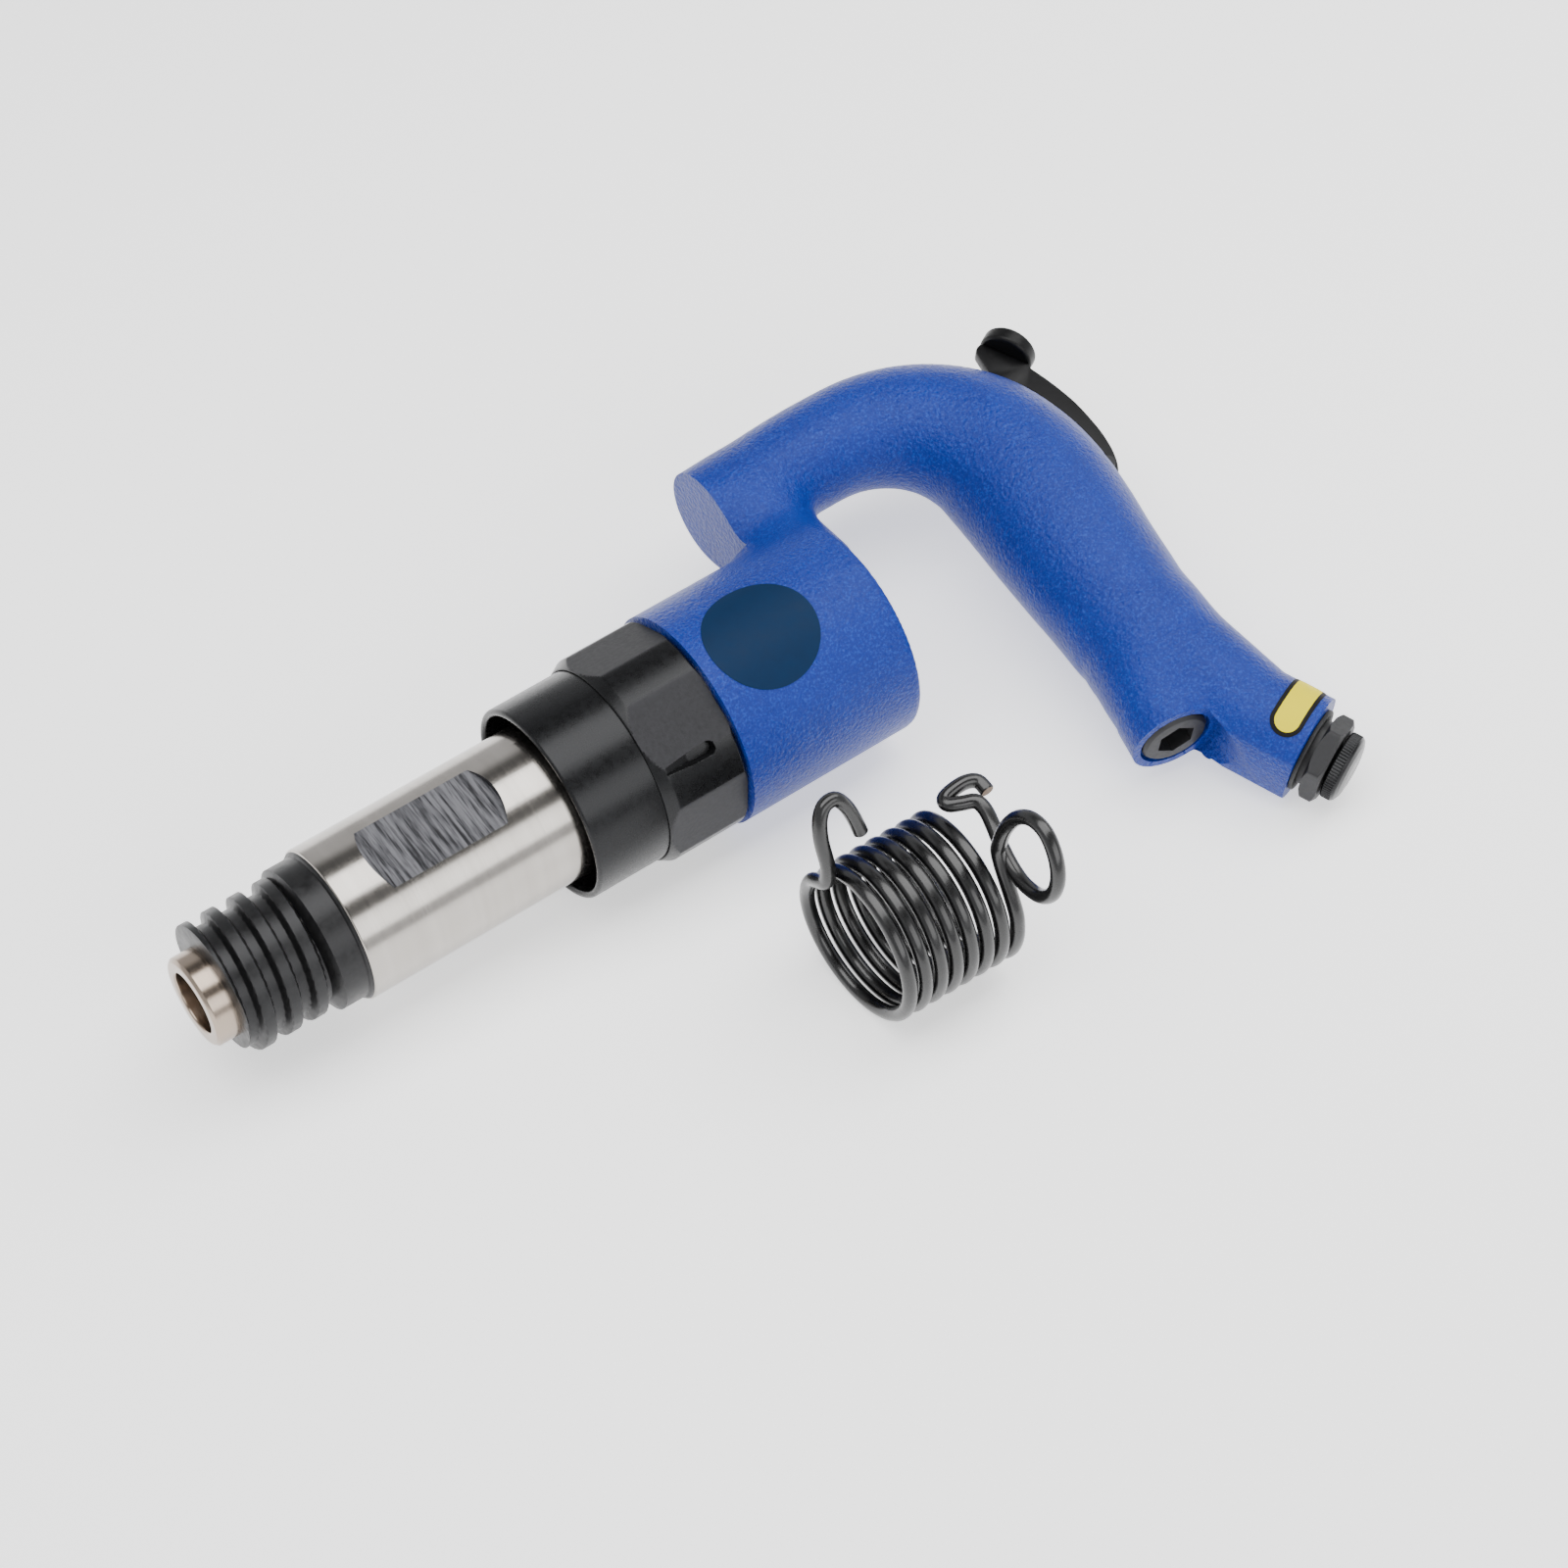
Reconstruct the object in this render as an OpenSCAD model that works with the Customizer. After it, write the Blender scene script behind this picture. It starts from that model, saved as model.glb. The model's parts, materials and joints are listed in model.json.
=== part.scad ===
// Pneumatic chipping hammer with a gooseneck handle, lying on its side beside its retainer spring.
// Row frame: origin at the centre of the shank bore's mouth, +X rearwards along the barrel,
// +Y towards the arch of the handle, +Z up from the floor. The tool's own plane of symmetry is
// turned about X by rest_tilt, because the tool lies on its head and on its inlet boss.

/* [Chisel end] */
// Bore for the round chisel shank
shank_d = 17.4; // [17:0.1:18]
// Outer diameter of the chisel bushing
bushing_d = 25.8; // [24:0.1:27]
// Length of the chisel bushing
bushing_len = 46; // [40:1:48]
// Length of bushing that stands out of the barrel
nose_len = 6.5; // [5:0.5:8]

/* [Barrel] */
// Outer diameter of the ground barrel
barrel_d = 44.2; // [43:0.1:46]
// Cylinder bore that the piston runs in
bore_d = 28.6; // [27:0.1:29]
// Outer diameter of the retainer thread
crest_d = 38.4; // [37:0.1:39]
// Root diameter of the retainer thread
root_d = 33.4; // [32:0.1:34]
// Pitch of the retainer thread, which is left-handed
thread_pitch = 7.7; // [7:0.1:8.5]
// Distance across the two milled vice flats
flats_across = 39.8; // [38:0.1:42]

/* [Piston and valve] */
// Length of the piston
piston_len = 44; // [40:1:46]

/* [Head and handle] */
// Outer diameter of the handle's head
head_d = 62.6; // [62:0.1:64]
// Front face of the head
head_front = 154.5; // [154:0.5:155]
// Rear face of the head
head_rear = 210.5; // [209:0.5:212]
// Outer diameter of the inlet boss
inlet_boss_d = 30.4; // [30:0.1:31]

/* [Throttle] */
// Diameter of the lever's thumb pad
pad_d = 16; // [15:0.5:17]

/* [Retainer spring] */
// Wire of the retainer spring
wire_d = 4.1; // [3.5:0.1:4.4]
// Outer diameter of the coil
coil_d = 45.4; // [45:0.1:46]
// Distance from turn to turn
coil_pitch = 4.9; // [4.6:0.1:5]
// Whole turns between the two hooks
coil_turns = 8; // [7:1:8]

/* [Hidden] */
$fn = 96;
enamel = [0.12, 0.29, 0.66];
black_oxide = [0.16, 0.16, 0.17];
steel = [0.72, 0.71, 0.70];
brass = [0.78, 0.62, 0.30];
rubber = [0.08, 0.08, 0.08];

// Inlet boss: centre of its end face and the way it points, in the tool's plane
inlet_at = [290, -100];
inlet_turn = -66.8;
// The tool rolls until the inlet boss's end meets the floor that the head lies on
rest_tilt = asin((head_d - inlet_boss_d) / 2 / norm([inlet_at[1], 0]));
floor_z = -head_d / 2;

// Throttle bore: centre of the plug's face and the way the bore runs, up the grip
plug_at = [261.6, -77.75];
throttle_turn = 78.7;
plug_boss_d = 25.5;
plug_d = 19.3;
// Machined flat on the inlet boss, as its distance from the boss's axis
inlet_flat_at = 12.8;

// Air passages, each from one point to another with its diameter: they run from the throttle
// round the arch and down the neck to the head
passages = [[[197, 12], [207, 50], 8], [[207, 50], [244, 50], 9], [[244, 50], [260, 38], 9],
    [[260, 38], [266, 10], 9], [[266, 10], [274, -12], 9]];

// Lever pivot in the tool's plane
pivot = [299.4, 1.6];
slot_w = 4.8;

// Barrel
barrel_rear = 166;
collar_d = 41.2;
collar_from = 33.5;
shoulder_x = 41;
bore_from = bushing_len + 0.5;
step_x = 131.4;
flat_from = 53;
flat_to = 92.5;
head_thread_d = 48;
chamber_d = 48.2;
chamber_rear = 201;
front_box_x = barrel_rear + 0.2;
rear_box_x = 178;
rear_box_end = 192;
valve_d = 25;
box_d = 47.6;
dowel_at = 19.2;
sleeve_from = 106.6;
sleeve_to = 131;
sleeve_d = 56.8;
collar_front = 129;
collar_rear = 153.8;
nut_d = 61.2;
nut_flats = 58;

// Places along the throttle bore, from the plug's face
plug_len = 12;
valve_back = 36;
seat_at = 44;
seat_len = 6;
plunger_from = 50.6;
plunger_to = 120.4;

// Retainer spring: where the coil starts, and the heights of its axis and its end hooks
coil_at = [148.3, -82.6];
coil_yaw = -1.44;
coil_z = floor_z + coil_d / 2;
coil_start = 50;
coil_end = 130;
near_hook = [[159.8, -71.4, 20.5], [158.9, -69.6, 25.5], [157.5, -67.9, 29.8], [155.1, -66.7, 32.8],
    [151.8, -66.8, 32.6], [149.5, -68, 29.4], [148.4, -70, 24], [148.4, -72.4, 16.5],
    [148.1, -72.8, 11.5], [147.8, -71.2, 8.4]];
far_hook = [[187, -94.2, 12.5], [187.6, -93.8, 18], [188.8, -94.8, 24], [190, -97.8, 30],
    [190.8, -102.5, 33.4], [190.8, -108, 33.4], [190, -113, 29.6], [189, -115.6, 24],
    [188.2, -114.8, 17.4], [187.8, -110.5, 12.2], [187.9, -104, 10], [188.6, -98, 10.2],
    [189.6, -92, 12.2], [191, -86.5, 14.4], [191.6, -82.4, 16.4], [190.8, -79.4, 17.4],
    [187.6, -77.6, 17.2], [184.8, -75.8, 17], [184.9, -73.7, 17], [188, -72.9, 17.4],
    [192.6, -72.8, 17.4], [195.6, -74.2, 16.8], [195.9, -77.6, 16.2]];

// Turns the tool's own frame to the way the tool lies
module lying() rotate([rest_tilt, 0, 0]) children();

// Solid or bore along +X from one station to the next
module along_x(from, to, d) translate([from, 0, 0]) rotate([0, 90, 0]) cylinder(d = d, h = to - from);

// Turned part about the X axis from an outline of [x, radius] points
module turned(outline) rotate([0, 90, 0]) rotate_extrude() polygon([for (p = outline) [p[1], p[0]]]);

// Hexagonal bar along +X, with one flat facing the angle turn, measured from +Y towards +Z
module hex_x(from, to, across, turn) translate([from, 0, 0]) rotate([turn, 0, 0]) rotate([0, 90, 0])
    cylinder(r = across / 2 / cos(30), h = to - from, $fn = 6);

// Turned part about Z from an outline of [z, radius] points
module turned_z(outline) rotate_extrude() polygon([for (p = outline) [p[1], p[0]]]);

// Frame of the throttle bore: +Z runs up the grip from the plug's face
module on_throttle() translate([plug_at[0], plug_at[1], 0])
    rotate([0, 0, throttle_turn]) rotate([0, 90, 0]) children();

// Frame of the inlet: +Z runs out of the boss's end face
module on_inlet() translate([inlet_at[0], inlet_at[1], 0])
    rotate([0, 0, inlet_turn]) rotate([0, 90, 0]) children();

// Hollow cylinder
module ring(d_out, d_in, from, to) difference() {
    translate([0, 0, from]) cylinder(d = d_out, h = to - from);
    translate([0, 0, from - 1]) cylinder(d = d_in, h = to - from + 2);
}

// O-ring about Z
module o_ring(d_mid, section, at) translate([0, 0, at])
    rotate_extrude() translate([d_mid / 2, 0]) circle(d = section, $fn = 24);

// Drilled passage between two points
module passage(a, b, d) {
    v = b - a;
    translate([a[0], a[1], 0]) rotate([0, 0, atan2(v[1], v[0])]) rotate([0, 90, 0])
        cylinder(d = d, h = norm(v));
    translate([b[0], b[1], 0]) sphere(d = d + 0.6);
}

// Point of a Catmull-Rom curve through four neighbours
function curve(a, b, c, d, t) = 0.5 * (2 * b + (c - a) * t + (2 * a - 5 * b + 4 * c - d) * t * t
    + (3 * b - a - 3 * c + d) * t * t * t);
function fine(pts, per) = [for (i = [0:len(pts) - 2]) for (k = [0:per - 1])
    curve(pts[max(i - 1, 0)], pts[i], pts[i + 1], pts[min(i + 2, len(pts) - 1)], k / per),
    pts[len(pts) - 1]];

// Closed tube from rings of points, all with the same count
module tube(rings) {
    n = len(rings[0]);
    m = len(rings);
    polyhedron(points = [for (r = rings) each r], faces = concat(
        [[for (k = [n - 1:-1:0]) k]],
        [[for (k = [0:n - 1]) (m - 1) * n + k]],
        [for (i = [0:m - 2]) for (k = [0:n - 1])
            [i * n + k, i * n + (k + 1) % n, (i + 1) * n + (k + 1) % n, (i + 1) * n + k]]));
}

// Round wire along a path: each ring is square to the path, and turns no more than the path does
function unit(v) = v / norm(v);
function heading(p, i) = unit(p[min(i + 1, len(p) - 1)] - p[max(i - 1, 0)]);
function square_to(side, t) = unit(side - (side * t) * t);
function sides(p, first) = [for (i = 0, u = square_to(first, heading(p, 0)); i < len(p);
    i = i + 1, u = square_to(u, heading(p, min(i, len(p) - 1)))) u];
module wire(path, first_side, d, n) {
    u = sides(path, first_side);
    tube([for (i = [0:len(path) - 1]) let (w = cross(heading(path, i), u[i]))
        [for (k = [0:n - 1]) path[i] + d / 2 * (cos(360 * k / n) * u[i] + sin(360 * k / n) * w)]]);
}

// Gooseneck: stations of [x, y, half width in the plane, half height]
gooseneck = [[196, 51, 14.3, 14.3], [212, 51.3, 14.6, 14.6], [228, 52, 15, 14.8],
    [240, 52, 15.2, 15], [250, 50.6, 16.2, 15.8], [259, 47.2, 17.4, 16.8],
    [266.5, 42, 18.6, 18], [272.5, 35, 20, 19.2], [276.5, 26.5, 21.2, 20.2],
    [278.3, 16, 22.3, 21], [278.5, 5, 22.6, 21.4], [277.6, -7, 22.2, 21.2],
    [276.3, -20, 21.2, 20.4], [275.2, -34, 20.2, 19.6], [273.6, -47, 19.3, 19],
    [270.3, -55.7, 17.4, 17.3], [266.6, -63.3, 15.2, 15.1], [263.3, -70.3, 12.9, 12.9]];
function section_ring(p, i, n) = let (t = unit([p[min(i + 1, len(p) - 1)][0] - p[max(i - 1, 0)][0],
        p[min(i + 1, len(p) - 1)][1] - p[max(i - 1, 0)][1]]))
    [for (k = [0:n - 1]) let (c = cos(360 * k / n), s = -sin(360 * k / n))
        [p[i][0] - t[1] * p[i][2] * c, p[i][1] + t[0] * p[i][2] * c, p[i][3] * s]];

module gooseneck_solid() {
    path = fine(gooseneck, 2);
    tube([for (i = [0:len(path) - 1]) section_ring(path, i, 24)]);
}

// Round bar or cone between two points of the tool's plane
module bar(a, b, r_a, r_b) {
    v = b - a;
    translate([a[0], a[1], 0]) rotate([0, 0, atan2(v[1], v[0])]) rotate([0, 90, 0])
        cylinder(r1 = r_a, r2 = r_b, h = norm(v));
}

// Leg that swings from the grip out to the inlet boss
module inlet_leg() {
    bar([276, -50], [282.9, -83.5], 17.6, 15.4);
    on_inlet() translate([0, 0, -26]) cylinder(d = inlet_boss_d, h = 26);
}

// Neck between the head and the arch
module neck() bar([207, 18], [207, 50], 17.6, 11.6);

module head() turned([[head_front, 0], [head_front, head_d / 2 - 0.8], [head_front + 0.8, head_d / 2],
    [head_rear - 2, head_d / 2], [head_rear, head_d / 2 - 2], [head_rear, 0]]);

// Slot that the lever's blade works in
module lever_slot() translate([0, 0, -slot_w / 2]) linear_extrude(slot_w)
    polygon([[292, -6], [312, -6], [312, 56], [284, 56], [275, 49], [273, 42], [278.4, 35.6],
             [284, 24], [288, 8]]);

module handle_casting() color(enamel) lying() difference() {
    union() {
        head();
        gooseneck_solid();
        neck();
        inlet_leg();
        on_throttle() translate([0, 0, 0.5]) cylinder(d = plug_boss_d, h = 20);
    }
    along_x(head_front - 1, chamber_rear, chamber_d);
    for (leg = passages) passage(leg[0], leg[1], leg[2]);
    on_throttle() {
        translate([0, 0, -2]) cylinder(d = 18.2, h = 14);
        translate([0, 0, -2]) cylinder(d = 21, h = 4.5);
        translate([0, 0, 11]) cylinder(d = 16.04, h = 39);
        translate([0, 0, 49]) cylinder(d = 10.04, h = 47);
        translate([0, 0, 95]) cylinder(d = 7, h = 26.6);
    }
    on_inlet() {
        translate([0, 0, -16]) cylinder(d = 19.04, h = 17);
        translate([0, 0, -52]) cylinder(d = 8, h = 37);
        translate([-20, -inlet_flat_at - 20, -26]) cube([40, 20, 27]);
    }
    lever_slot();
    translate([pivot[0], pivot[1], -20]) cylinder(d = 4.04, h = 40);
}

module barrel() color(steel) lying() difference() {
    union() {
        turned([[nose_len, 0], [nose_len, root_d / 2 - 0.6], [nose_len + 0.6, root_d / 2],
            [collar_from - 2, root_d / 2], [collar_from, collar_d / 2], [shoulder_x - 0.4, collar_d / 2],
            [shoulder_x, barrel_d / 2 - 0.4], [shoulder_x + 0.4, barrel_d / 2],
            [step_x, barrel_d / 2], [step_x, head_thread_d / 2], [barrel_rear, head_thread_d / 2],
            [barrel_rear, 0]]);
        retainer_thread();
    }
    along_x(0, bore_from + 1, bushing_d + 0.04);
    along_x(bore_from, barrel_rear + 1, bore_d);
    for (side = [-1, 1]) vice_flat(side);
    for (a = [45:90:315]) rotate([a, 0, 0]) translate([115, 0, 0]) cylinder(d = 5, h = 30);
    dowels(barrel_rear - 8, barrel_rear + 2, 3.04);
}

// The two dowels that keep the valve box in line with the barrel, or their holes
module dowels(from, to, d) for (a = [20, 200]) rotate([a, 0, 0]) translate([0, 0, dowel_at])
    along_x(from, to, d);

// Left-handed ridge of the retainer thread, with sloping flanks, run out at both ends
module retainer_thread() {
    turns = 3.9;
    per = 24;
    n = floor(turns * per);
    flank = [[2.9, -0.8], [1.5, 2.1], [1.1, 2.5], [-1.1, 2.5], [-1.5, 2.1], [-2.9, -0.8]];
    start_x = 8.2;
    intersection() {
        tube([for (i = [0:n]) let (a = -360 * i / per, x = start_x + thread_pitch * i / per)
            [for (f = flank) [x + f[0], (root_d / 2 + f[1]) * cos(a), (root_d / 2 + f[1]) * sin(a)]]]);
        along_x(nose_len + 0.2, 40.2, 60);
    }
}

// Pocket of one milled flat: straight sides and round ends
module vice_flat(side) mirror([0, 0, side < 0 ? 1 : 0]) translate([0, 0, flats_across / 2])
    linear_extrude(10) intersection() {
        translate([flat_from, -12]) square([flat_to - flat_from, 24]);
        translate([flat_from + 20, 0]) circle(r = 20);
        translate([flat_to - 20, 0]) circle(r = 20);
    }

module chisel_bushing() color(steel) lying() turned([[0, shank_d / 2], [0, bushing_d / 2 - 0.8],
    [0.8, bushing_d / 2], [bushing_len, bushing_d / 2], [bushing_len, shank_d / 2]]);

// Free piston: a striking nose in front and two oil grooves round its body
module piston() {
    from = 121.5;
    to = from + piston_len;
    r = bore_d / 2 - 0.05;
    color(steel) lying() difference() {
        turned([[from, 0], [from, 9], [from + 1, 10], [from + 9, 10], [from + 10.5, r - 0.6],
            [from + 11.5, r], [to - 0.8, r], [to, r - 0.8], [to, 0]]);
        for (x = [from + 19, from + 31]) turned([[x, r - 0.5], [x + 1, r - 0.5], [x + 1, r + 1], [x, r + 1]]);
    }
}

module valve_box_front() color(steel) lying() difference() {
    along_x(front_box_x, rear_box_x, box_d);
    along_x(front_box_x - 1, rear_box_x, 12);
    along_x(171, rear_box_x + 1, valve_d + 1);
    dowels(front_box_x - 1, rear_box_x + 1, 3.04);
}

module valve_box_rear() color(steel) lying() difference() {
    along_x(rear_box_x, rear_box_end, box_d);
    along_x(rear_box_x - 1, rear_box_end - 1, 14);
    along_x(rear_box_x - 1, rear_box_end + 1, 5);
    for (a = [30:60:330]) rotate([a, 0, 0]) translate([0, 0, 10.2])
        along_x(rear_box_x - 1, rear_box_end + 1, 2.6);
    dowels(rear_box_x - 1, rear_box_end - 3.5, 3.04);
    turned([[184, box_d / 2 - 1.8], [186.6, box_d / 2 - 1.8], [186.6, box_d / 2 + 1], [184, box_d / 2 + 1]]);
}

// Flanged spool that sends the air to either end of the piston
module cycle_valve() color(steel) lying() difference() {
    turned([[171.2, 3.5], [171.2, valve_d / 2], [174.2, valve_d / 2], [174.2, 6.95], [188, 6.95], [188, 3.5]]);
    for (a = [0:60:300]) rotate([a, 0, 0]) translate([181, 0, 0]) cylinder(d = 2, h = 10);
}

module valve_dowels() color(steel) lying() dowels(barrel_rear - 7.5, rear_box_end - 4, 3);

module valve_box_seal() color(rubber) lying() translate([185.3, 0, 0]) rotate([0, 90, 0]) o_ring(46, 1.9, 0);

// Cup that throws the exhaust forwards, with a rounded lip
module exhaust_sleeve() {
    r = sleeve_d / 2;
    wall = 2.1;
    color(black_oxide) lying() turned(concat(
        [[sleeve_to, barrel_d / 2 + 0.1], [sleeve_to, r]],
        [for (a = [0:30:180]) [sleeve_from + wall / 2 - wall / 2 * sin(a), r - wall / 2 + wall / 2 * cos(a)]],
        [[120.5, r - wall], [121.5, r - wall - 1], [121.5, barrel_d / 2 + 0.1]]));
}

// Collar with six spanner flats, each a shallow cut in a round nut, and one keyway
module lock_collar() {
    r = nut_d / 2;
    color(black_oxide) lying() difference() {
        intersection() {
            turned([[collar_front, 0], [collar_front, r - 1.7], [collar_front + 3, r],
                [collar_rear - 0.8, r], [collar_rear, r - 0.8], [collar_rear, 0]]);
            hex_x(collar_front - 1, collar_rear + 1, nut_flats, 53.5);
        }
        along_x(collar_front - 1, collar_rear + 1, head_thread_d + 0.1);
        along_x(collar_front - 1, sleeve_to + 0.2, sleeve_d + 0.2);
        rotate([133, 0, 0]) translate([145.3, 0, 0]) rotate([0, 2, 0]) {
            translate([0, r - 2.6, 0]) rotate([-90, 0, 0]) cylinder(d = 4, h = 5);
            translate([-13.4, r - 2.6, -2]) cube([13.4, 5, 4]);
        }
    }
}

// Lever: a flat blade with a boss at its pin, a toe over the plunger and a round thumb pad
module throttle_lever() color(black_oxide) lying() difference() {
    union() {
        translate([0, 0, -2]) linear_extrude(4) polygon([[294.5, 2], [300, -2], [304, 1.6],
            [305.9, 6.6], [307, 13.1], [307.2, 19.1], [307.1, 25.1], [306.2, 31.1], [305.1, 36.4],
            [303.6, 41.7], [304.2, 42.8], [296.8, 56.7], [293.8, 55.3], [292.7, 47.5], [292, 46],
            [283, 46.3], [282.2, 40.8], [285, 40.7], [288, 40.1], [290, 39.55],
            [292, 38.6], [293.2, 37.3], [293.8, 35.5], [293.5, 31.5], [290.2, 27.5], [289.5, 20]]);
        translate([pivot[0], pivot[1], -2]) cylinder(r = 5.2, h = 4);
        translate([300.5, 49.75, 0]) rotate([0, 0, 28]) rotate([0, 90, 0]) cylinder(d = pad_d, h = 5);
    }
    translate([pivot[0], pivot[1], -4]) cylinder(d = 4.12, h = 8);
}

module lever_pin() color(steel) lying() translate([pivot[0], pivot[1], -6.8]) cylinder(d = 4, h = 13.6);

module throttle_plunger() color(steel) lying() on_throttle() {
    translate([0, 0, plunger_from]) cylinder(r = 3, h = plunger_to - plunger_from - 1);
    turned_z([[plunger_to - 1, 0], [plunger_to - 1, 3], [plunger_to - 0.3, 2.2], [plunger_to, 0.8],
        [plunger_to, 0]]);
}

module plunger_bush() color(brass) lying() on_throttle() ring(10, 6.1, 84, 96);

module plunger_seal() color(rubber) lying() on_throttle() o_ring(8.1, 1.8, 83);

module throttle_valve() color(brass) lying() on_throttle() {
    translate([0, 0, valve_back - 6]) cylinder(r = 3.8, h = 6.5);
    translate([0, 0, valve_back]) cylinder(r = 6.8, h = seat_at - valve_back - 0.3);
    translate([0, 0, valve_back]) cylinder(r = 2.2, h = plunger_from - valve_back - 0.2);
}

module valve_seat_bush() color(brass) lying() on_throttle() ring(16, 9, seat_at, seat_at + seat_len);

module throttle_spring() {
    turns = 7;
    per = 16;
    low = plug_len + 1;
    high = valve_back - 0.9;
    path = [for (i = [0:turns * per]) let (a = 360 * i / per)
        [5.2 * cos(a), 5.2 * sin(a), low + (high - low) * i / turns / per]];
    color(steel) lying() on_throttle() wire(path, [0, 0, 1], 1.2, 8);
}

module bottom_plug() color(black_oxide) lying() on_throttle() difference() {
    turned_z([[0, 0], [0, plug_d / 2 - 1], [1, plug_d / 2], [2.2, plug_d / 2], [2.2, 9], [9.4, 9],
        [9.4, 7.4], [11.4, 7.4], [11.4, 8.9], [plug_len, 8.9], [plug_len, 0]]);
    translate([0, 0, -1]) cylinder(r = 5 / cos(30), h = 7, $fn = 6);
}

module plug_seal() color(rubber) lying() on_throttle() o_ring(16.5, 1.6, 10.4);

module inlet_bushing() color(black_oxide) lying() on_inlet() difference() {
    union() {
        translate([0, 0, -15.5]) cylinder(d = 19, h = 18.5);
        intersection() {
            translate([0, 0, 3]) cylinder(r = 11 / cos(30), h = 5, $fn = 6);
            turned_z([[3, 0], [3, 11.4], [4, 12.4], [7, 12.4], [8, 11.4], [8, 0]]);
        }
    }
    translate([0, 0, -5]) cylinder(d = 11.2, h = 14);
    translate([0, 0, -17]) cylinder(d = 14, h = 12.01);
}

module inlet_seal() color(rubber) lying() on_inlet() ring(24, 19.1, 0.05, 1.3);

// Woven strainer in its rim, behind the inlet's thread
module inlet_strainer() color(brass) lying() on_inlet() difference() {
    translate([0, 0, -8]) cylinder(d = 13.96, h = 1.6);
    for (x = [-4:2:4]) for (y = [-4:2:4]) if (norm([x, y]) < 5.4)
        translate([x, y, -9]) cylinder(d = 1.2, h = 4);
}

module inlet_cap() color(black_oxide) lying() on_inlet() {
    translate([0, 0, -3]) cylinder(d = 11, h = 11.6);
    turned_z([[8.5, 0], [8.5, 9.4], [8.9, 9.8], [11.5, 9.8], [12.4, 9.2], [13.1, 7.6], [13.5, 5], [13.5, 0]]);
}

module head_label() color([0.02, 0.2, 0.36]) lying() intersection() {
    difference() {
        along_x(150, 200, head_d + 0.4);
        along_x(149, 201, head_d + 0.02);
    }
    rotate([96, 0, 0]) translate([174.4, 0, 0]) rotate([-90, 0, 0]) cylinder(d = 32, h = 40);
}

// Label wrapped round the boss
module oil_label() {
    middle = 76.5;
    half = 46;
    color([0.95, 0.9, 0.2]) lying() on_inlet() intersection() {
        ring(inlet_boss_d + 0.6, inlet_boss_d + 0.02, -11.7, -2.3);
        rotate([0, 0, middle]) translate([0, 0, -12]) linear_extrude(10)
            polygon([[0, 0], [20 * tan(-half), 20], [20 * tan(half), 20]]);
    }
}

// Coil of the retainer spring, left-handed, from hook to hook
function coil_point(a) = let (x = coil_pitch * (coil_start - a) / 360, r = (coil_d - wire_d) / 2)
    [coil_at[0] + x, coil_at[1] + x * tan(coil_yaw) + r * cos(a), coil_z + r * sin(a)];

module retainer_spring() {
    last = coil_end - 360 * coil_turns;
    steps = floor((coil_start - last) / 15);
    coil = [for (i = [0:steps]) coil_point(coil_start + (last - coil_start) * i / steps)];
    path = concat(fine(near_hook, 3), coil, fine(far_hook, 3));
    color(black_oxide) wire(path, [0, 1, 0], wire_d, 10);
}

handle_casting();
barrel();
chisel_bushing();
piston();
valve_box_front();
valve_box_rear();
cycle_valve();
valve_dowels();
valve_box_seal();
exhaust_sleeve();
lock_collar();
throttle_lever();
lever_pin();
throttle_plunger();
plunger_bush();
plunger_seal();
throttle_valve();
valve_seat_bush();
throttle_spring();
bottom_plug();
plug_seal();
inlet_bushing();
inlet_seal();
inlet_strainer();
inlet_cap();
head_label();
oil_label();
retainer_spring();
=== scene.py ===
"""Looks of a pneumatic chipping hammer with a gooseneck handle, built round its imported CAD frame.

Shapes are worked out in millimetres in the tool's own frame: x runs back along the barrel from the
mouth of the shank bore, y towards the arch of the handle, and z square to the tool's plane.
place() then lays the tool over and turns millimetres to metres.
"""
import json
import math

import bmesh
import bpy
import numpy as np
from mathutils import Matrix, Vector


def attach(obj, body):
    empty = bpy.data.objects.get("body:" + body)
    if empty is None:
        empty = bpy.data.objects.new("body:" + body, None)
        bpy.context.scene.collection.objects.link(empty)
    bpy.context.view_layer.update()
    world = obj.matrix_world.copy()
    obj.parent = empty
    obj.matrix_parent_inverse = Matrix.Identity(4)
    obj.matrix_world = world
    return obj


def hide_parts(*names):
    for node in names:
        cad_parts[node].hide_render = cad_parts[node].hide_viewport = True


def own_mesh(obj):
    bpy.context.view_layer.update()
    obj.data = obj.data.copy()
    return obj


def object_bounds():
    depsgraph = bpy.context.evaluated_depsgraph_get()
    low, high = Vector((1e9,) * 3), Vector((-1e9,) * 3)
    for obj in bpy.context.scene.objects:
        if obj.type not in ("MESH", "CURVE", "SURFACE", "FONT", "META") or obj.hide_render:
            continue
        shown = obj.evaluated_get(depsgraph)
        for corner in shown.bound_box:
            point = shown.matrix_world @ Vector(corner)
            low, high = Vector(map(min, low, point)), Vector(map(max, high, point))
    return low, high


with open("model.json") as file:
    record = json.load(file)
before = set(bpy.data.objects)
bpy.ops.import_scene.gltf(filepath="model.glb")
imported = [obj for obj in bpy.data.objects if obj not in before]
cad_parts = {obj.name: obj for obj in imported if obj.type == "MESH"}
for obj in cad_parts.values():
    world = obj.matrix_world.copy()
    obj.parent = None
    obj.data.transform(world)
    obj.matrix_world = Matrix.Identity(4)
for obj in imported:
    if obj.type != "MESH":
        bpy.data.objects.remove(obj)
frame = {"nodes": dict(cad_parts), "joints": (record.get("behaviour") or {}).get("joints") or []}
cad_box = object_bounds()

MM = 0.001
TURN = 2 * math.pi

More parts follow.
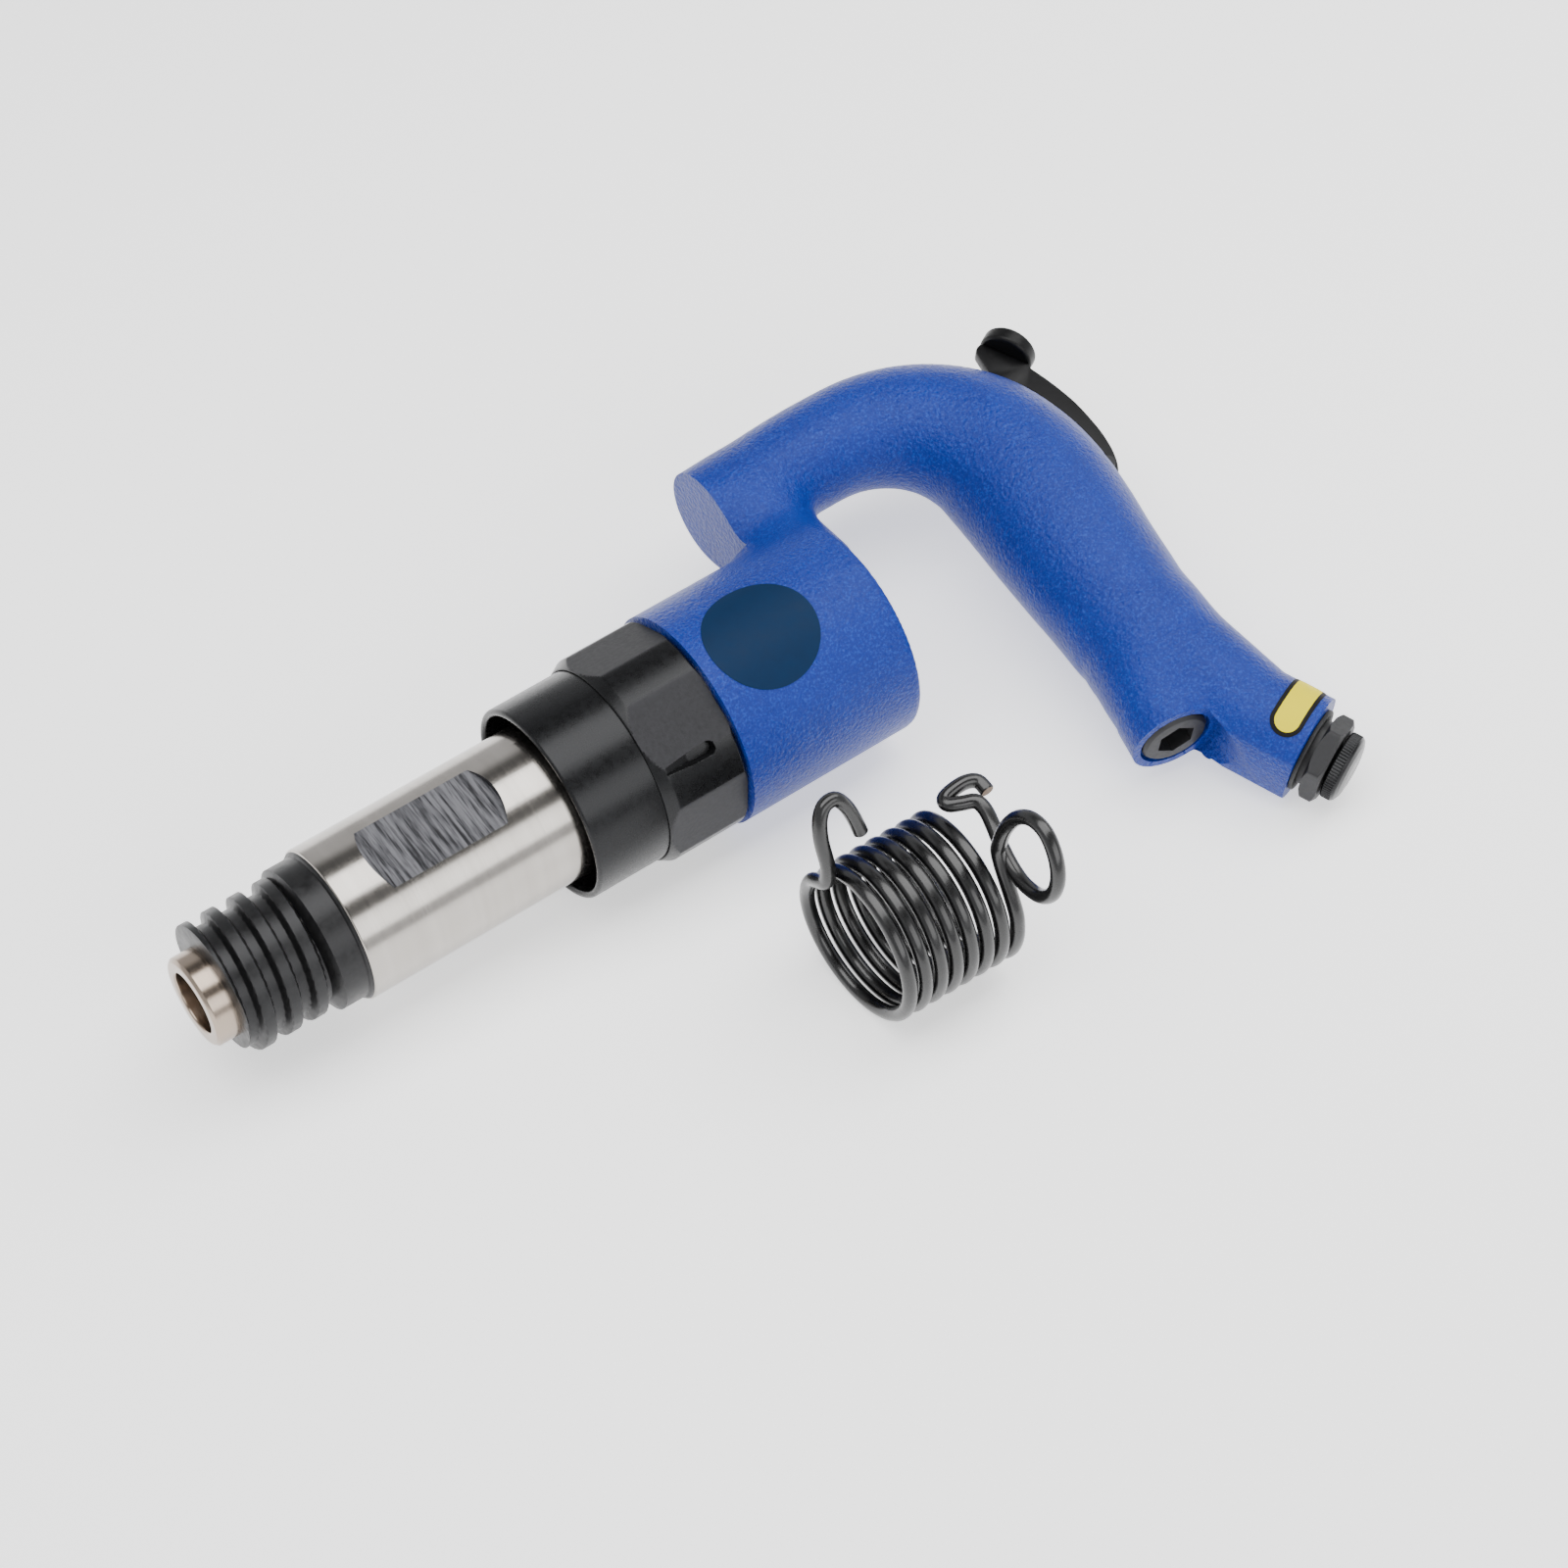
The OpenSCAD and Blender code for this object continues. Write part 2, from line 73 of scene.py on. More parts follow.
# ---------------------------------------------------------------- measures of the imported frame
joints = {joint["name"]: joint for joint in frame["joints"]}
hinge_axis = joints["lever_hinge"]["axis"]
TILT = math.atan2(-hinge_axis[1], hinge_axis[2])
FLOOR_Z = cad_box[0][2]


def tool_points(points_m):
    """Undoes place(): points of the row frame, in metres, as millimetres in the tool's own frame."""
    x, y, z = np.moveaxis(np.asarray(points_m, float), -1, 0) / MM
    cos, sin = math.cos(TILT), math.sin(TILT)
    return np.stack([x, y * cos + z * sin, z * cos - y * sin], axis=-1)


PIVOT = tool_points(joints["lever_hinge"]["pos_m"])
HEAD_R = 31.3
HEAD_FROM, HEAD_TO = 154.5, 210.5
BARREL_R = 22.1
PLUG_AT = np.array([261.6, -77.75, 0.0])
PLUG_TURN = math.radians(78.7)
INLET_AT = np.array([290.0, -100.0, 0.0])
INLET_TURN = math.radians(-66.8)
CLEAR = 0.02


# ---------------------------------------------------------------- placing and meshes
def place(points):
    """Lays points of the tool's frame over by TILT about x and turns them to metres."""
    points = np.asarray(points, float)
    cos, sin = math.cos(TILT), math.sin(TILT)
    x, y, z = points[..., 0], points[..., 1], points[..., 2]
    return np.stack([x, y * cos - z * sin, y * sin + z * cos], axis=-1) * MM


def on_barrel(across, along):
    """Points at a distance along the barrel's axis and two distances across it, towards +y and +z."""
    return np.stack([along, across[0], across[1]], axis=-1)


def on_plane_axis(start, turn):
    """Returns a function that puts points on an axis in the tool's plane: along runs out from start at
    angle turn, the first across lies in the plane and the second is square to it."""
    way = np.array([math.cos(turn), math.sin(turn), 0.0])
    side = np.array([-math.sin(turn), math.cos(turn), 0.0])
    up = np.array([0.0, 0.0, 1.0])

    def put(across, along):
        return start + along[..., None] * way + across[0][..., None] * side + across[1][..., None] * up
    return put


on_throttle = on_plane_axis(PLUG_AT, PLUG_TURN)
on_inlet = on_plane_axis(INLET_AT, INLET_TURN)


def on_pin(across, along):
    """Points on the axis of the lever's pin, square to the tool's plane."""
    return np.stack([PIVOT[0] + across[0], PIVOT[1] + across[1], along], axis=-1)


def show(name, data):
    """A new object of that data, at the origin."""
    made = bpy.data.objects.new(name, data)
    bpy.context.scene.collection.objects.link(made)
    return made


def sharpen(mesh, angle):
    """Smooth faces, with the edges sharp past an angle."""
    mesh.polygons.foreach_set("use_smooth", [True] * len(mesh.polygons))
    mesh.set_sharp_from_angle(angle=math.radians(angle))


def new_mesh(name, points, faces, smooth_angle=35, material=None):
    """A mesh object with doubles merged, faces pointing outwards and edges sharp past an angle."""
    mesh = bpy.data.meshes.new(name)
    mesh.from_pydata(np.asarray(points).reshape(-1, 3).tolist(), [], [list(face) for face in faces])
    work = bmesh.new()
    work.from_mesh(mesh)
    bmesh.ops.remove_doubles(work, verts=work.verts, dist=1e-6)
    bmesh.ops.dissolve_degenerate(work, edges=work.edges, dist=1e-7)
    bmesh.ops.recalc_face_normals(work, faces=work.faces)
    work.to_mesh(mesh)
    work.free()
    sharpen(mesh, smooth_angle)
    if material:
        mesh.materials.append(material)
    return show(name, mesh)


def face_centres(piece):
    """Middle of each face, in metres."""
    centres = np.empty(len(piece.data.polygons) * 3, np.float32)
    piece.data.polygons.foreach_get("center", centres)
    return centres.reshape(-1, 3)


def second_material(piece, material, faces):
    """Gives another material to the faces that are marked True."""
    piece.data.materials.append(material)
    piece.data.polygons.foreach_set("material_index", faces.astype(np.int32))


def grid_faces(rows, columns, wrap_rows, wrap_columns):
    """Four-sided faces of a grid of points, closed onto itself where it wraps."""
    i, j = np.meshgrid(np.arange(rows if wrap_rows else rows - 1),
                       np.arange(columns if wrap_columns else columns - 1), indexing="ij")
    i2, j2 = (i + 1) % rows, (j + 1) % columns
    corners = [i * columns + j, i * columns + j2, i2 * columns + j2, i2 * columns + j]
    return np.stack(corners, axis=-1).reshape(-1, 4).tolist()


def soften(outline, radius, closed=True, steps=3):
    """Rounds an outline's corners: each corner becomes a quadratic curve that starts radius before it,
    or 0.45 of the shorter side before it where that is less."""
    outline = [np.array(point, float) for point in outline]
    out = []
    for i, corner in enumerate(outline):
        if not closed and i in (0, len(outline) - 1):
            out.append(corner)
            continue
        before, after = outline[i - 1], outline[(i + 1) % len(outline)]
        back, on = np.linalg.norm(before - corner), np.linalg.norm(after - corner)
        size = min(radius, 0.45 * back, 0.45 * on)
        start = corner + (before - corner) / back * size
        end = corner + (after - corner) / on * size
        for t in np.linspace(0, 1, steps + 1):
            out.append((1 - t) ** 2 * start + 2 * t * (1 - t) * corner + t * t * end)
    return np.array(out)


def lathe(name, outline, put=on_barrel, around=128, shape=None, step=None, material=None, angle=35):
    """Turned piece: the closed outline of (along, radius) points carried once round the axis. step
    splits the outline's sides, around is a count or a list of angles, and shape(along, angle, radius)
    may change the radius, which makes threads, flats and knurls."""
    outline = np.array(outline, float)
    if step:
        pieces = []
        for a, b in zip(outline, np.roll(outline, -1, axis=0)):
            count = max(1, int(np.ceil(np.linalg.norm(b - a) / step)))
            pieces.append(a + (b - a) * (np.arange(count) / count)[:, None])
        outline = np.concatenate(pieces)
    theta = np.asarray(around) if np.ndim(around) else np.arange(around) * TURN / around
    along = np.repeat(outline[:, :1], len(theta), axis=1)
    radius = np.repeat(outline[:, 1:], len(theta), axis=1)
    turn = np.repeat(theta[None, :], len(outline), axis=0)
    if shape:
        radius = shape(along, turn, radius)
    points = put((radius * np.cos(turn), radius * np.sin(turn)), along)
    faces = grid_faces(len(outline), len(theta), True, True)
    return new_mesh(name, place(points), faces, angle, material)


def prism(name, outline, low, high, material=None, angle=35):
    """Flat outline of (x, y) points in the tool's plane, given thickness from z = low to z = high."""
    outline = np.asarray(outline, float)
    count = len(outline)
    ends = [np.column_stack([outline, np.full(count, z)]) for z in (low, high)]
    faces = grid_faces(2, count, False, True) + [list(range(count))[::-1], list(range(count, 2 * count))]
    return new_mesh(name, place(np.concatenate(ends)), faces, angle, material)


def apply_modifiers(piece):
    """Replaces a piece's mesh by what its modifiers make of it."""
    bpy.context.view_layer.update()
    final = bpy.data.meshes.new_from_object(piece.evaluated_get(bpy.context.evaluated_depsgraph_get()))
    old = piece.data
    piece.modifiers.clear()
    piece.data = final
    bpy.data.meshes.remove(old)


def cut(piece, cutters):
    """Cuts each cutter out of a piece, applies the result and removes the cutters."""
    for cutter in cutters:
        modifier = piece.modifiers.new("cut", "BOOLEAN")
        modifier.object = cutter
        modifier.operation = "DIFFERENCE"
        modifier.solver = "EXACT"
        modifier.material_mode = "TRANSFER"
    apply_modifiers(piece)
    for cutter in cutters:
        bpy.data.objects.remove(cutter)


def curve_through(points, per):
    """Catmull-Rom curve: a cubic on each span, in per steps, through every point."""
    points = np.array(points, float)
    padded = np.concatenate([points[:1], points, points[-1:]])
    a, b, c, d = (padded[k:len(padded) - 3 + k, None] for k in range(4))
    t = (np.arange(per) / per)[None, :, None]
    square, cube = 2 * a - 5 * b + 4 * c - d, 3 * b - a - 3 * c + d
    spans = 0.5 * (2 * b + (c - a) * t + square * t ** 2 + cube * t ** 3)
    return np.concatenate([spans.reshape(-1, points.shape[1]), points[-1:]])


# ---------------------------------------------------------------- materials
def linear(code):
    """An sRGB hex colour as linear red, green, blue and alpha."""
    parts = [int(code[i:i + 2], 16) / 255 for i in (1, 3, 5)]
    return [p / 12.92 if p <= 0.04045 else ((p + 0.055) / 1.055) ** 2.4 for p in parts] + [1.0]


def add(tree, kind, settings, inputs):
    """Adds a node: settings are its own values, and an input is a number, a colour or a socket to link."""
    made = tree.nodes.new(kind)
    for key, value in settings.items():
        setattr(made, key, value)
    for key, value in inputs.items():
        if isinstance(value, bpy.types.NodeSocket):
            tree.links.new(value, made.inputs[key])
        else:
            made.inputs[key].default_value = value
    return made


def start_material(name, **surface):
    """A material with a Principled shader, whose constant values are set on its own sockets."""
    material = bpy.data.materials.new(name)
    material.use_nodes = True
    tree = material.node_tree
    shader = tree.nodes["Principled BSDF"]
    for key, value in surface.items():
        shader.inputs[key.replace("_", " ")].default_value = value
    where = tree.nodes.new("ShaderNodeTexCoord").outputs["Object"]
    return material, tree, shader, where


def mix_colours(tree, amount, low, high):
    """Blends two colours by a socket's value."""
    return add(tree, "ShaderNodeMix", {"data_type": "RGBA"}, {0: amount, 6: low, 7: high}).outputs[2]


def noise(tree, where, scale, detail, roughness=0.5):
    """Fractal noise with scale grains to a metre of its vector, so a grain is 1000 / scale millimetres."""
    return add(tree, "ShaderNodeTexNoise", {}, {"Vector": where, "Scale": scale, "Detail": detail,
                                                "Roughness": roughness}).outputs[0]


def stretch(tree, where, along, around):
    """Coordinates for marks that run round the barrel's axis: fine along it and coarse around it."""
    return add(tree, "ShaderNodeMapping", {}, {"Vector": where, "Scale": (along, around, around)}).outputs[0]


def spread(tree, value, low, high, start=0.0, end=1.0):
    """A socket's value, taken from start..end to low..high."""
    return add(tree, "ShaderNodeMapRange", {}, {"Value": value, "From Min": start, "From Max": end,
                                                "To Min": low, "To Max": high}).outputs[0]


def relief(tree, height, strength, depth, **under):
    """Bump whose full height is depth metres, over another bump where under names its Normal."""
    return add(tree, "ShaderNodeBump", {}, {"Height": height, "Strength": strength, "Distance": depth,
                                            **under}).outputs[0]


def finish_material(tree, shader, colour, roughness, normal):
    """Links the three patterns of a material to its shader."""
    for key, socket in (("Base Color", colour), ("Roughness", roughness), ("Normal", normal)):
        tree.links.new(socket, shader.inputs[key])


def cast_enamel():
    """Gloss enamel sprayed over a sand casting. The casting under it waves slowly, about 18 mm from crest
    to crest, the coat pulls into an orange peel of 1.25 mm, and freckles of 0.7 mm are a little lighter.
    Highlights break into small soft patches."""
    material, tree, shader, where = start_material("enamel_over_cast_iron", Specular_IOR_Level=0.24)
    slow = noise(tree, where, 55.0, 3.0)
    peel = noise(tree, where, 800.0, 3.0, 0.6)
    freckle = spread(tree, noise(tree, where, 1500.0, 2.0), 0.0, 0.6, 0.5, 0.68)
    coat = mix_colours(tree, slow, linear("#041E70"), linear("#082C8A"))
    colour = mix_colours(tree, freckle, coat, linear("#1C48AE"))
    waves = relief(tree, slow, 0.5, 0.0015)
    normal = relief(tree, peel, 1.0, 0.0006, Normal=waves)
    finish_material(tree, shader, colour, spread(tree, peel, 0.24, 0.44), normal)
    return material


def ground_metal(name, light, dark, rough_low, rough_high, lines, depth):
    """Metal finished on a cylindrical grinder or a lathe: fine marks run round the axis, with lines of them
    to the metre, under broad bands 14 times as wide that change its tone."""
    material, tree, shader, where = start_material(name, Metallic=1.0)
    marks = noise(tree, stretch(tree, where, lines, 6.0), 1.0, 4.0, 0.65)
    bands = noise(tree, stretch(tree, where, lines / 14, 3.0), 1.0, 2.0)
    colour = mix_colours(tree, bands, linear(dark), linear(light))
    rough = spread(tree, marks, rough_low, rough_high, 0.3, 0.7)
    finish_material(tree, shader, colour, rough, relief(tree, marks, 0.5, depth))
    return material


def milled_flat():
    """Steel cut by an end mill across the barrel: torn scratches run across the flat, 0.9 mm apart and
    about 14 mm long, some bright and some dark, so it looks matt and darker than the ground steel."""
    material, tree, shader, where = start_material("milled_steel", Metallic=1.0)
    tears = noise(tree, stretch(tree, where, 1100.0, 70.0), 1.0, 5.0, 0.7)
    contrast = spread(tree, tears, 0.0, 1.0, 0.38, 0.6)
    colour = mix_colours(tree, contrast, linear("#29292B"), linear("#6A6A6E"))
    finish_material(tree, shader, colour, spread(tree, tears, 0.45, 0.62), relief(tree, tears, 0.8, 0.0003))
    return material


def dark_finish(name, low, high, rough_low, rough_high, grain, depth, **surface):
    """A plain surface, such as a dark skin on steel, paint, rubber or film, with faint mottling that has
    grain patches to the metre."""
    material, tree, shader, where = start_material(name, **surface)
    mottle = noise(tree, where, grain, 5.0, 0.6)
    colour = mix_colours(tree, mottle, linear(low), linear(high))
    rough = spread(tree, mottle, rough_low, rough_high, 0.3, 0.7)
    finish_material(tree, shader, colour, rough, relief(tree, mottle, 0.4, depth))
    return material


def film(name, low, high):
    """Printed polyester film, one flat ink, uneven by the 4 mm waves of the surface under it."""
    return dark_finish(name, low, high, 0.5, 0.62, 240.0, 0.00004, Specular_IOR_Level=0.12)


# Arguments: name, two colours, roughness from and to, pattern to the metre, relief in metres
ENAMEL = cast_enamel()
# Cylindrically ground: marks of 0.4 mm, drawn coarser than the grit's 0.05 mm so that they show.
# Bright, with long sharp bands of light.
GROUND = ground_metal("ground_steel", "#B9B4AE", "#A19C96", 0.13, 0.24, 2600.0, 0.000006)
# Turned with a fine feed, marks of 0.55 mm: warmer and a little softer than ground steel
TURNED = ground_metal("turned_steel", "#B3A496", "#8F8174", 0.16, 0.28, 1800.0, 0.00001)
# Bored, marks of 0.7 mm: grey and dull, as the inside of a casting or a barrel is
INNER = ground_metal("bored_steel", "#8F8B87", "#6B6763", 0.3, 0.5, 1500.0, 0.00003)
MILLED = milled_flat()
# Phosphated, crystal patches of 2.4 mm: a charcoal sheen on the thread's crests
THREAD = dark_finish("phosphated_steel", "#1B1B1C", "#333334", 0.3, 0.46, 420.0, 0.00008, Metallic=0.7)
# Black oxide over turned steel, patches of 2 mm: nearly black with a tight grey highlight
OXIDE = dark_finish("black_oxide_steel", "#151516", "#202123", 0.24, 0.32, 500.0, 0.00004, Metallic=0.6)
# Baked paint, grain of 1.7 mm: deep black with a soft low sheen
LEVER_BLACK = dark_finish("baked_black_paint", "#050506", "#0E0E0F", 0.34, 0.46, 600.0, 0.00006,
                          Specular_IOR_Level=0.2)
# Black oxide over machined bar, patches of 1.4 mm: dark grey without a clear highlight
MATTE_OXIDE = dark_finish("matte_oxide_steel", "#1A1A1B", "#2E2E30", 0.42, 0.58, 700.0, 0.00006, Metallic=0.4)
# Black oxide over milled flats, grain of 1.1 mm: paler and duller than the turned parts beside them
FLAT_OXIDE = dark_finish("milled_oxide_steel", "#202022", "#363639", 0.46, 0.6, 900.0, 0.00012, Metallic=0.6)
# Dipped enamel on drawn wire, waves of 5.6 mm under a clear coat: glossy black with thin bright lines
GLOSS_WIRE = dark_finish("enamelled_spring_wire", "#050506", "#0C0C0D", 0.22, 0.34, 180.0, 0.00004,
                         Coat_Weight=0.3, Coat_Roughness=0.1)
# Sheared wire end, grain of 1.1 mm: bare brownish steel
CUT_END = dark_finish("sheared_wire_end", "#4A3A2C", "#7A6552", 0.4, 0.6, 900.0, 0.0001, Metallic=0.8)
# Turned brass, marks of 0.55 mm: yellow bands round the bushes
BRASS = ground_metal("turned_brass", "#D8B36A", "#A9823F", 0.2, 0.36, 1800.0, 0.00003)
# Moulded nitrile rubber, grain of 1.1 mm: dull black
RUBBER = dark_finish("nitrile_rubber", "#0C0C0C", "#1A1A1A", 0.5, 0.65, 900.0, 0.00004)
# Printed films: flat colour that takes the light evenly
NAVY = film("navy_film", "#001C38", "#002444")
YELLOW = film("yellow_film", "#DCCB00", "#E2D200")
BLACK_FILM = film("black_film", "#0A0A0B", "#151516")


# ---------------------------------------------------------------- handle casting
# Gooseneck: stations of x, y, half width in the tool's plane and half height, as on the CAD handle
GOOSENECK = [(196, 51, 14.3, 14.3), (212, 51.3, 14.6, 14.6), (228, 52, 15, 14.8), (240, 52, 15.2, 15),
             (250, 50.6, 16.2, 15.8), (259, 47.2, 17.4, 16.8), (266.5, 42, 18.6, 18), (272.5, 35, 20, 19.2),
             (276.5, 26.5, 21.2, 20.2), (278.3, 16, 22.3, 21), (278.5, 5, 22.6, 21.4),
             (277.6, -7, 22.2, 21.2), (276.3, -20, 21.2, 20.4), (275.2, -34, 20.2, 19.6),
             (273.6, -47, 19.3, 19), (270.3, -55.7, 17.4, 17.3), (266.6, -63.3, 15.2, 15.1),
             (263.3, -70.3, 12.9, 12.9)]
STATIONS = curve_through(GOOSENECK, 5)
TINY = 1e-9


def from_gooseneck(points):
    """Signed distance from the gooseneck: the nearest place on its middle line gives the ellipse there,
    and the distance is how far the point lies outside that ellipse along its own radius."""
    best = np.full(len(points), 1e9)
    out = np.zeros(len(points))
    for start, end in zip(STATIONS, STATIONS[1:]):
        way = end[:2] - start[:2]
        t = np.clip(((points[:, :2] - start[:2]) @ way) / (way @ way), 0, 1)
        centre = start + t[:, None] * (end - start)
        flat = np.linalg.norm(points[:, :2] - centre[:, :2], axis=1)
        nearer = flat < best
        ratio = np.sqrt((flat / centre[:, 2]) ** 2 + (points[:, 2] / centre[:, 3]) ** 2) + TINY
        distance = (ratio - 1) * np.sqrt(flat ** 2 + points[:, 2] ** 2 + TINY) / ratio
        out[nearer] = distance[nearer]
        best[nearer] = flat[nearer]
    return out


def from_bar(points, start, end, start_r, end_r):
    """Signed distance from a tapered bar with round ends: how far the nearest place on its middle line is,
    less the radius there."""
    start, end = np.array(start, float), np.array(end, float)
    way = end - start
    t = np.clip(((points - start) @ way) / (way @ way), 0, 1)
    return np.linalg.norm(points - start - t[:, None] * way, axis=1) - (start_r + t * (end_r - start_r))


def from_drum(points, middle, way, half, radius, edge):
    """Signed distance from a cylinder with a rounded edge, of half its length half: the distance from the
    cylinder shrunk by edge all round, less edge."""
    rel = points - middle
    along = rel @ way
    out = np.linalg.norm(rel - along[:, None] * way, axis=1) - radius + edge
    up = np.abs(along) - half + edge
    return np.minimum(np.maximum(out, up), 0) + np.hypot(np.maximum(out, 0), np.maximum(up, 0)) - edge


def blend_union(a, b, size):
    """Union of two distances with a fillet of about that size: a weighted mean where they are nearly equal,
    lowered by a parabola of their difference."""
    h = np.clip(0.5 + 0.5 * (b - a) / size, 0, 1)
    return b * (1 - h) + a * h - size * h * (1 - h)


X_WAY = np.array([1.0, 0.0, 0.0])
PLUG_WAY = np.array([math.cos(PLUG_TURN), math.sin(PLUG_TURN), 0.0])
INLET_WAY = np.array([math.cos(INLET_TURN), math.sin(INLET_TURN), 0.0])
BOSS_R = 15.2
PLUG_BOSS_R = 12.75
FACING = 4.0
LEG_FROM, LEG_TO = (276.0, -50.0, 0.0), (283.2, -84.2, 0.0)


def from_casting(points):
    """Signed distance from the whole casting, with cast fillets where its limbs meet. The head starts
    FACING before its machined front face, and planes end the arch and the grip."""
    front = HEAD_FROM - FACING
    head = from_drum(points, X_WAY * (front + HEAD_TO) / 2, X_WAY, (HEAD_TO - front) / 2, HEAD_R, 2.2)
    neck = from_bar(points, (206.5, 19, 0), (207, 46, 0), 16.2, 12.6)
    leg = from_bar(points, LEG_FROM, LEG_TO, 17.6, 15.2)
    boss = from_drum(points, INLET_AT - INLET_WAY * 5, INLET_WAY, 15, BOSS_R, 1.0)
    plug_boss = from_drum(points, PLUG_AT + PLUG_WAY * 3, PLUG_WAY, 8, PLUG_BOSS_R, 1.0)
    past_arch = 194.5 - points[:, 0]
    past_grip = -1.0 - (points - PLUG_AT) @ PLUG_WAY
    grip = np.maximum(from_gooseneck(points), np.maximum(past_arch, past_grip))
    body = np.minimum(np.minimum(blend_union(grip, leg, 5.0), boss), plug_boss)
    return blend_union(body, blend_union(head, neck, 7.0), 9.0)


def rough_casting():
    """Limbs of the casting as plain closed bars, which the remesh joins into one skin."""
    path = STATIONS[::2]
    way = np.gradient(path[:, :2], axis=0)
    way /= np.linalg.norm(way, axis=1)[:, None]
    sides = 40
    theta = np.arange(sides) * TURN / sides
    across = path[:, 2:3] * np.cos(theta)
    points = np.stack([path[:, 0:1] - way[:, 1:2] * across, path[:, 1:2] + way[:, 0:1] * across,
                       path[:, 3:4] * np.sin(theta)], axis=-1)
    last = (len(path) - 1) * sides
    faces = grid_faces(len(path), sides, False, True)
    faces += [list(range(sides))[::-1], list(range(last, last + sides))]
    front = HEAD_FROM - FACING
    upright = on_plane_axis(np.array([207.0, 0.0, 0.0]), math.pi / 2)
    leg_turn = math.atan2(LEG_TO[1] - LEG_FROM[1], LEG_TO[0] - LEG_FROM[0])
    leg = on_plane_axis(np.array(LEG_FROM), leg_turn)
    bars = [([(front, 0), (front, HEAD_R), (HEAD_TO, HEAD_R), (HEAD_TO, 0)], on_barrel),
            ([(10, 0), (10, 20), (24, 19.5), (46, 14.5), (56, 12), (56, 0)], upright),
            ([(-14, 0), (-14, 16), (0, 17.8), (36, 15.2), (36, 0)], leg),
            ([(-20, 0), (-20, BOSS_R), (10, BOSS_R), (10, 0)], on_inlet),
            ([(-5, 0), (-5, PLUG_BOSS_R), (11, PLUG_BOSS_R), (11, 0)], on_throttle)]
    return [new_mesh("limb", place(points), faces)] + [lathe("limb", outline, put) for outline, put in bars]


def join_meshes(name, objects):
    """One mesh from several objects' meshes, which are removed."""
    work = bmesh.new()
    for made in objects:
        work.from_mesh(made.data)
        bpy.data.objects.remove(made)
    mesh = bpy.data.meshes.new(name)
    work.to_mesh(mesh)
    work.free()
    return show(name, mesh)


def drop_to_surface(piece, distance):
    """Moves each point along the slope of a signed distance, by that distance, until it lies on the zero
    surface. The slope is measured over a small offset, and both it and each move are kept within bounds."""
    passes, offset, least_slope, longest_move = 6, 0.05, 0.3, 2
    co = np.empty(len(piece.data.vertices) * 3, np.float32)
    piece.data.vertices.foreach_get("co", co)
    points = tool_points(co.reshape(-1, 3))
    for _ in range(passes):
        here = distance(points)
        slope = np.stack([distance(points + shift) - here for shift in np.eye(3) * offset], axis=-1) / offset
        slope /= np.maximum(np.linalg.norm(slope, axis=1), least_slope)[:, None]
        points -= np.clip(here, -longest_move, longest_move)[:, None] * slope
    piece.data.vertices.foreach_set("co", place(points).astype(np.float32).ravel())
    piece.data.update()


def bore(put, low, high, radius, around=96):
    """Cutter for a round hole along an axis."""
    return lathe("cutter", [(low, 0), (low, radius), (high, radius), (high, 0)], put, around, material=ENAMEL)


def block(put, low, high, size, aside=0.0):
    """Box cutter that spans low to high along an axis, size each way across it, moved aside in the plane."""
    corners = np.array([[a, b, c] for a in (low, high) for b in (aside - size, aside + size)
                        for c in (-size, size)])
    points = put((corners[:, 1], corners[:, 2]), corners[:, 0])
    faces = [(0, 1, 3, 2), (4, 6, 7, 5), (0, 4, 5, 1), (2, 3, 7, 6), (0, 2, 6, 4), (1, 5, 7, 3)]
    return new_mesh("cutter", place(points), faces, material=ENAMEL)


LEVER_SLOT = [(292, -6), (312, -6), (312, 56), (284, 56), (275, 49), (273, 42), (278.4, 35.6), (284, 24),
              (288, 8)]


def handle_casting():
    """Enamelled casting: limbs joined by a remesh, drawn onto the distance above, then machined. Bores that
    an inner piece fills are wider than it by CLEAR, so that the two skins don't fight."""
    piece = join_meshes("handle", rough_casting())
    remesh = piece.modifiers.new("skin", "REMESH")
    remesh.mode = "VOXEL"
    remesh.voxel_size = 1.25 * MM
    apply_modifiers(piece)
    drop_to_surface(piece, from_casting)
    piece.data.materials.clear()
    piece.data.materials.append(ENAMEL)
    head_front = block(on_barrel, HEAD_FROM - 20, HEAD_FROM, 40)
    arch_end = block(on_barrel, 168, 196, 24, 55.5)
    plug_seat = bore(on_throttle, -15, 0.5, 13.2)
    inlet_face = block(on_inlet, 0, 25, 22)
    beside_inlet = block(on_inlet, -26, 5, 20, aside=-32.8)
    cut(piece, [head_front, arch_end, plug_seat, inlet_face, beside_inlet])
    barrel_socket = bore(on_barrel, HEAD_FROM - 5, 201, 24.1)
    plug_counterbore = bore(on_throttle, -5, 2.5, 10.5)
    inlet_bore = bore(on_inlet, -16, 5, 9.52)
    lever_slot = prism("cutter", LEVER_SLOT, -2.4, 2.4, ENAMEL)
    cut(piece, [barrel_socket, plug_counterbore, inlet_bore, lever_slot])
    plug_bore = bore(on_throttle, -5, 12, 9.1)
    valve_bore = bore(on_throttle, 11, 50, 8 + CLEAR, 64)
    bush_bore = bore(on_throttle, 49, 96, 5 + CLEAR, 48)
    plunger_bore = bore(on_throttle, 95, 121.6, 3.5, 48)
    pin_bore = bore(on_pin, -20, 20, 2 + CLEAR, 48)
    cut(piece, [plug_bore, valve_bore, bush_bore, plunger_bore, pin_bore])
    sharpen(piece.data, 38)
    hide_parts("handle_casting")
    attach(piece, "tool")


# ---------------------------------------------------------------- barrel and what is on it
THREAD_PITCH = 7.7
THREAD_START = 8.2
THREAD_END = 37.6
CREST_RISE = 2.5
ROOT_R = 16.7
BUSHING_R = 12.92


